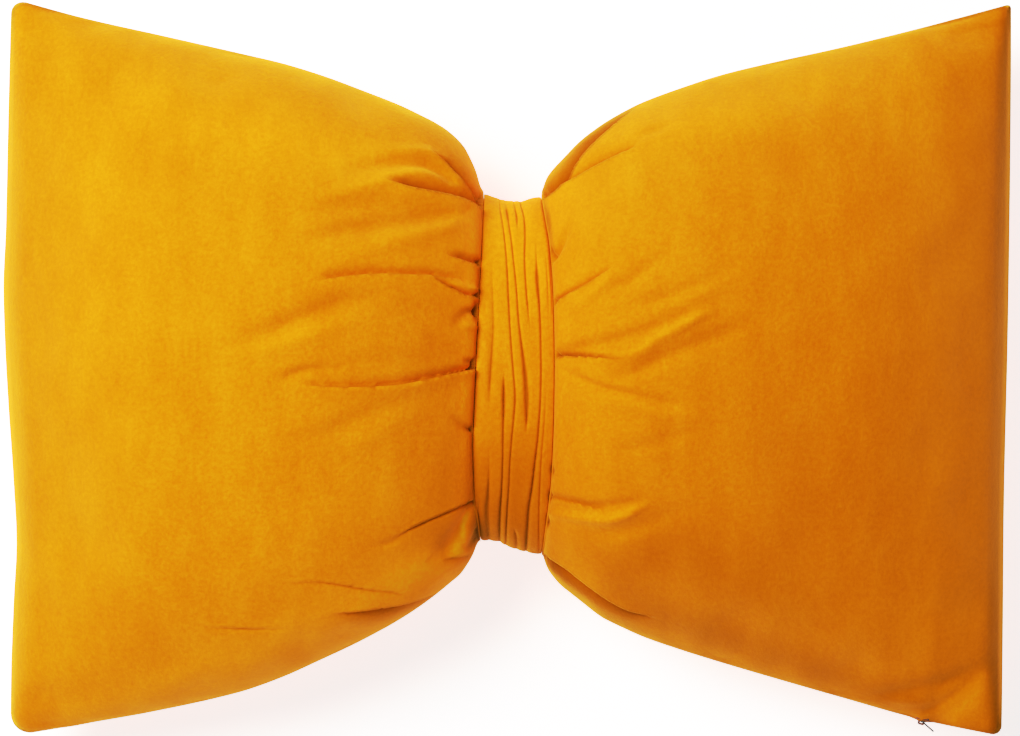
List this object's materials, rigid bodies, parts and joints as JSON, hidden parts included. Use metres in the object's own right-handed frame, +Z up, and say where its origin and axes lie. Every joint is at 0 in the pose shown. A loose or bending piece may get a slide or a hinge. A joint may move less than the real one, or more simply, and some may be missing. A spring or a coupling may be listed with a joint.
{
  "type": "bow cushion",
  "caption": "Filled velvet cushion drawn in at its middle by a pleated cloth band, so that it stands out in two lobes like a bow, with a small zip in its lower seam.",
  "frame": {"origin": "middle of the bow, on the surface that it lies on", "axes": "+X along the bow to the right, +Y to the top of the bow, +Z up out of its face"},
  "size_m": [0.5042, 0.3668, 0.1312],
  "materials": {
    "velvet_cover": "short-pile velvet, mustard yellow, with a soft sheen",
    "velvet_band": "short-pile velvet, mustard yellow, pleated",
    "slider_paint": "satin reddish brown enamel",
    "pull_metal": "dark grey satin metal"
  },
  "bodies": {
    "root": {"cushion": "velvet_cover", "band": "velvet_band", "zip_slider": "slider_paint", "zip_pull": "pull_metal"}
  },
  "joints": []
}
